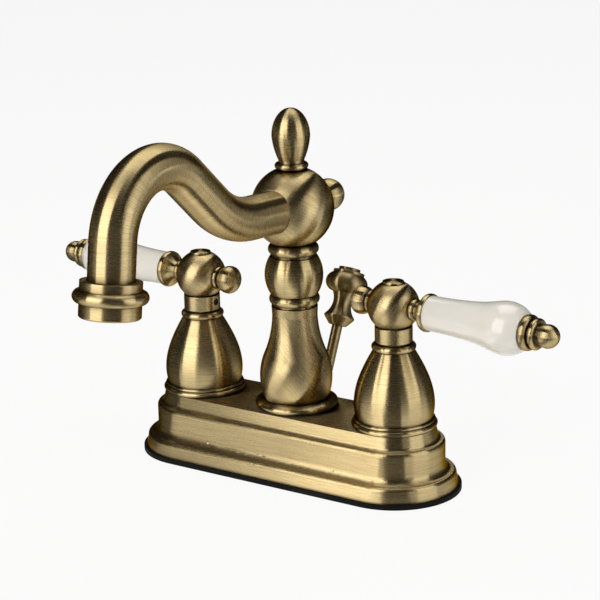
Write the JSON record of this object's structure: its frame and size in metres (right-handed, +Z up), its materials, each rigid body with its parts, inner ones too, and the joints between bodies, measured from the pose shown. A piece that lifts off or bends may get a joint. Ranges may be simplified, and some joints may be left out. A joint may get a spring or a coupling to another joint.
{
  "type": "bathroom mixer faucet",
  "caption": "Centre-set bathroom mixer faucet with a swan-neck spout on a turned column, porcelain lever handles on bell escutcheons, a moulded base plate and a lift rod for the drain.",
  "frame": {"origin": "on the deck surface, under the middle of the spout column and midway between the inlet shanks", "axes": "+Z up from the deck, -Y towards the user and out along the spout, +X towards the cold handle"},
  "size_m": [0.265, 0.1899, 0.2149],
  "materials": {
    "antique_brass": "brushed antique brass, dark patina in the grooves",
    "plain_brass": "machined, unplated",
    "ivory_porcelain": "gloss ivory glaze",
    "disc_ceramic": "lapped flat",
    "black_rubber": "satin moulded",
    "seal_rubber": "matte moulded",
    "screw_steel": "plain steel",
    "outlet_plastic": "moulded white",
    "bush_plastic": "moulded dark"
  },
  "bodies": {
    "faucet_body": {"base_gasket": "black_rubber", "base_plate": "antique_brass", "valve_body": "plain_brass", "spout_riser": "plain_brass", "riser_o_rings": "seal_rubber", "column_foot_ring": "antique_brass", "column_vase": "antique_brass", "column_knop": "antique_brass", "spout_ball": "antique_brass", "spout_tube": "antique_brass", "spout_finial": "antique_brass", "spout_rear_knob": "antique_brass", "spout_nozzle": "antique_brass", "aerator_shell": "antique_brass", "aerator_insert": "outlet_plastic", "aerator_washer": "seal_rubber", "lift_rod_bush": "bush_plastic", "hot_inlet_shank": "plain_brass", "hot_cartridge_body": "plain_brass", "hot_seat_seal": "seal_rubber", "hot_fixed_disc": "disc_ceramic", "hot_escutcheon": "antique_brass", "hot_escutcheon_ring": "antique_brass", "cold_inlet_shank": "plain_brass", "cold_cartridge_body": "plain_brass", "cold_seat_seal": "seal_rubber", "cold_fixed_disc": "disc_ceramic", "cold_escutcheon": "antique_brass", "cold_escutcheon_ring": "antique_brass"},
    "hot_handle": {"hot_moving_disc": "disc_ceramic", "hot_valve_stem": "plain_brass", "hot_stem_o_ring": "seal_rubber", "hot_handle_hub": "antique_brass", "hot_handle_cap": "antique_brass", "hot_set_screw": "screw_steel", "hot_back_knob": "antique_brass", "hot_lever_collar": "antique_brass", "hot_porcelain_lever": "ivory_porcelain", "hot_lever_finial": "antique_brass", "hot_lever_rod": "screw_steel"},
    "cold_handle": {"cold_moving_disc": "disc_ceramic", "cold_valve_stem": "plain_brass", "cold_stem_o_ring": "seal_rubber", "cold_handle_hub": "antique_brass", "cold_handle_cap": "antique_brass", "cold_set_screw": "screw_steel", "cold_back_knob": "antique_brass", "cold_lever_collar": "antique_brass", "cold_porcelain_lever": "ivory_porcelain", "cold_lever_finial": "antique_brass", "cold_lever_rod": "screw_steel"},
    "lift": {"lift_rod": "antique_brass", "lift_knob": "antique_brass", "lift_knob_crown": "antique_brass"}
  },
  "joints": [
    {"name": "hot_handle_turn", "type": "hinge", "parent": "faucet_body", "child": "hot_handle", "pos_m": [-0.0508, 0, 0.0813], "axis": [0, 0, 1], "range_deg": [0, 90]},
    {"name": "cold_handle_turn", "type": "hinge", "parent": "faucet_body", "child": "cold_handle", "pos_m": [0.0508, 0, 0.0813], "axis": [0, 0, -1], "range_deg": [0, 90]},
    {"name": "lift_rod_slide", "type": "slide", "parent": "faucet_body", "child": "lift", "axis": [0, 0.4226, 0.9063], "range_m": [0, 0.025]}
  ]
}
